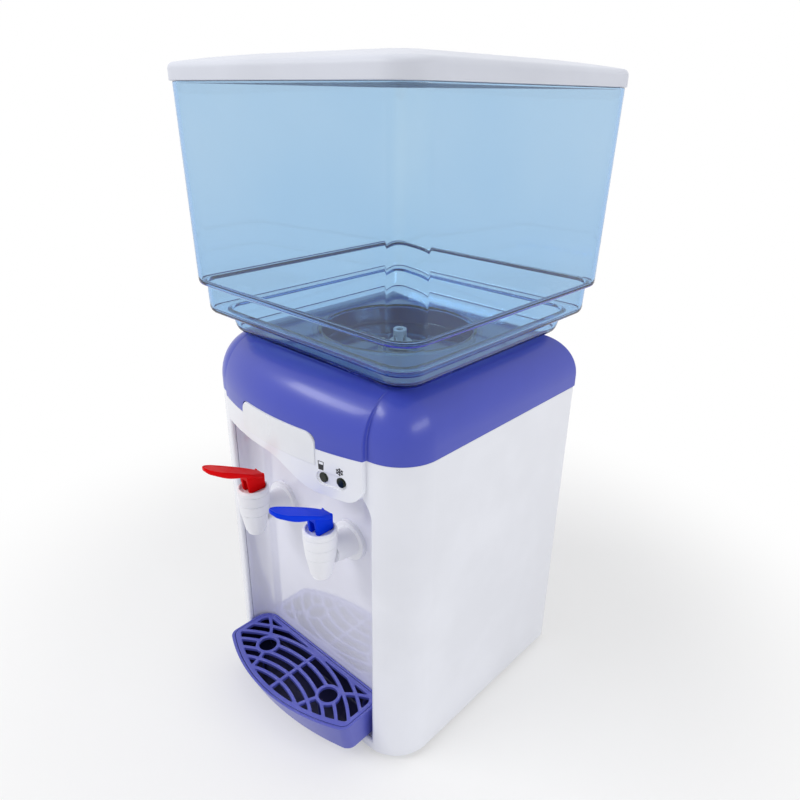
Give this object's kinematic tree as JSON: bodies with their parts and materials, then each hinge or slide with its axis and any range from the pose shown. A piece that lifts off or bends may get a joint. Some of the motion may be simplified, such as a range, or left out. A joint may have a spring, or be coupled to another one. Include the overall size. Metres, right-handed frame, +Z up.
{
  "type": "countertop water dispenser",
  "caption": "Countertop water dispenser: a lift-off tinted tank feeds lever taps above a pull-out drip tray; a fan-cooled module chills the water.",
  "frame": {"origin": "centre of the bounding box at its lowest level: on the table surface below the middle of the dispenser", "axes": "+Z up; the front, with the taps and the drip tray, faces -Y; +X is to the right when facing the back (the blue tap's side)"},
  "size_m": [0.235, 0.282, 0.5146],
  "materials": {
    "white_plastic": "gloss",
    "plate_plastic": "gloss",
    "cover_plastic": "gloss",
    "tray_plastic": "gloss",
    "tank_plastic": "clear, tinted light blue",
    "lid_plastic": "gloss",
    "tap_plastic": "gloss",
    "red_plastic": "gloss",
    "blue_plastic": "gloss",
    "black_rubber": "matt",
    "hose_rubber": "satin, milky",
    "inner_plastic": "satin",
    "steel": "plain",
    "aluminium": "satin",
    "ceramic": "matt ceramic",
    "foam": "closed-cell foam",
    "lens_plastic": "dark, clear",
    "black_plastic": "matt",
    "board": "satin"
  },
  "bodies": {
    "housing": {"housing_shell": "white_plastic", "alcove_panel": "white_plastic", "fascia_panel": "white_plastic", "rear_panel": "white_plastic", "raised_plate": "plate_plastic", "top_cover": "cover_plastic", "tap_body_red": "tap_plastic", "tap_body_blue": "tap_plastic", "tap_bonnet_red": "tap_plastic", "tap_bonnet_blue": "tap_plastic", "tap_nut_red": "tap_plastic", "tap_nut_blue": "tap_plastic", "tap_washer_red": "black_rubber", "tap_washer_blue": "black_rubber", "rubber_feet": "black_rubber", "ambient_hose": "hose_rubber", "cold_hose": "hose_rubber", "base_plate": "inner_plastic", "feed_probe": "inner_plastic", "feed_tee": "inner_plastic", "reservoir_stand": "inner_plastic", "board_spacers": "inner_plastic", "base_screws": "steel", "rear_screws": "steel", "clamp_screws": "steel", "fan_screws": "steel", "cold_reservoir": "steel", "tap_spring_red": "steel", "tap_spring_blue": "steel", "cold_block": "aluminium", "heat_sink": "aluminium", "thermoelectric_module": "ceramic", "insulation_front": "foam", "insulation_rear": "foam", "power_lens": "lens_plastic", "cooling_lens": "lens_plastic", "fan_frame": "black_plastic", "power_inlet": "black_plastic", "switch_body": "black_plastic", "board_parts": "black_plastic", "indicator_board": "board", "power_board": "board"},
    "lever_red": {"lever_red": "red_plastic"},
    "lever_blue": {"lever_blue": "blue_plastic"},
    "stem_red": {"tap_stem_red": "inner_plastic", "tap_seal_red": "black_rubber"},
    "stem_blue": {"tap_stem_blue": "inner_plastic", "tap_seal_blue": "black_rubber"},
    "tank": {"water_tank": "tank_plastic", "tank_valve_body": "inner_plastic", "tank_outlet_nut": "inner_plastic", "tank_valve_spring": "steel"},
    "plunger": {"tank_valve_plunger": "inner_plastic"},
    "lid": {"tank_lid": "lid_plastic"},
    "tray": {"drip_tray": "tray_plastic"},
    "grille": {"drip_grille": "tray_plastic"},
    "fan": {"fan_rotor": "black_plastic"},
    "rocker": {"power_rocker": "black_plastic"}
  },
  "joints": [
    {"name": "lever_red_press", "type": "hinge", "parent": "housing", "child": "lever_red", "pos_m": [-0.0403, -0.10687, 0.2053], "axis": [1, 0, 0], "range_deg": [0, 18], "stiffness_Nm_per_rad": 0.6, "springref_deg": -8.59},
    {"name": "stem_red_lift", "type": "slide", "parent": "housing", "child": "stem_red", "axis": [0, 0, 1], "range_m": [0, 0.00232], "deforming": ["tap_spring_red"]},
    {"name": "lever_blue_press", "type": "hinge", "parent": "housing", "child": "lever_blue", "pos_m": [0.0403, -0.10687, 0.2053], "axis": [1, 0, 0], "range_deg": [0, 18], "stiffness_Nm_per_rad": 0.6, "springref_deg": -8.59},
    {"name": "stem_blue_lift", "type": "slide", "parent": "housing", "child": "stem_blue", "axis": [0, 0, 1], "range_m": [0, 0.00232], "deforming": ["tap_spring_blue"]},
    {"name": "tank_lift", "type": "slide", "parent": "housing", "child": "tank", "axis": [0, 0, 1], "range_m": [0, 0.15]},
    {"name": "valve_close", "type": "slide", "parent": "tank", "child": "plunger", "axis": [0, 0, 1], "range_m": [-0.00405, 0], "deforming": ["tank_valve_spring"]},
    {"name": "lid_lift", "type": "slide", "parent": "tank", "child": "lid", "axis": [0, 0, 1], "range_m": [0, 0.1]},
    {"name": "tray_pull", "type": "slide", "parent": "housing", "child": "tray", "axis": [0, -1, 0], "range_m": [0, 0.06]},
    {"name": "grille_lift", "type": "slide", "parent": "tray", "child": "grille", "axis": [0, 0, 1], "range_m": [0, 0.03]},
    {"name": "fan_spin", "type": "hinge", "parent": "housing", "child": "fan", "pos_m": [0, 0.1087, 0.161], "axis": [0, 1, 0], "continuous": true},
    {"name": "rocker_tilt", "type": "hinge", "parent": "housing", "child": "rocker", "pos_m": [0.03, 0.12102, 0.041], "axis": [1, 0, 0], "range_deg": [0, 20]}
  ],
  "couplings": [
    {"joint": "lever_red_press", "follows": "stem_red_lift", "rad_per_m": 135.33},
    {"joint": "lever_blue_press", "follows": "stem_blue_lift", "rad_per_m": 135.33},
    {"joint": "valve_close", "follows": "tank_lift", "ratio": -0.026667}
  ]
}
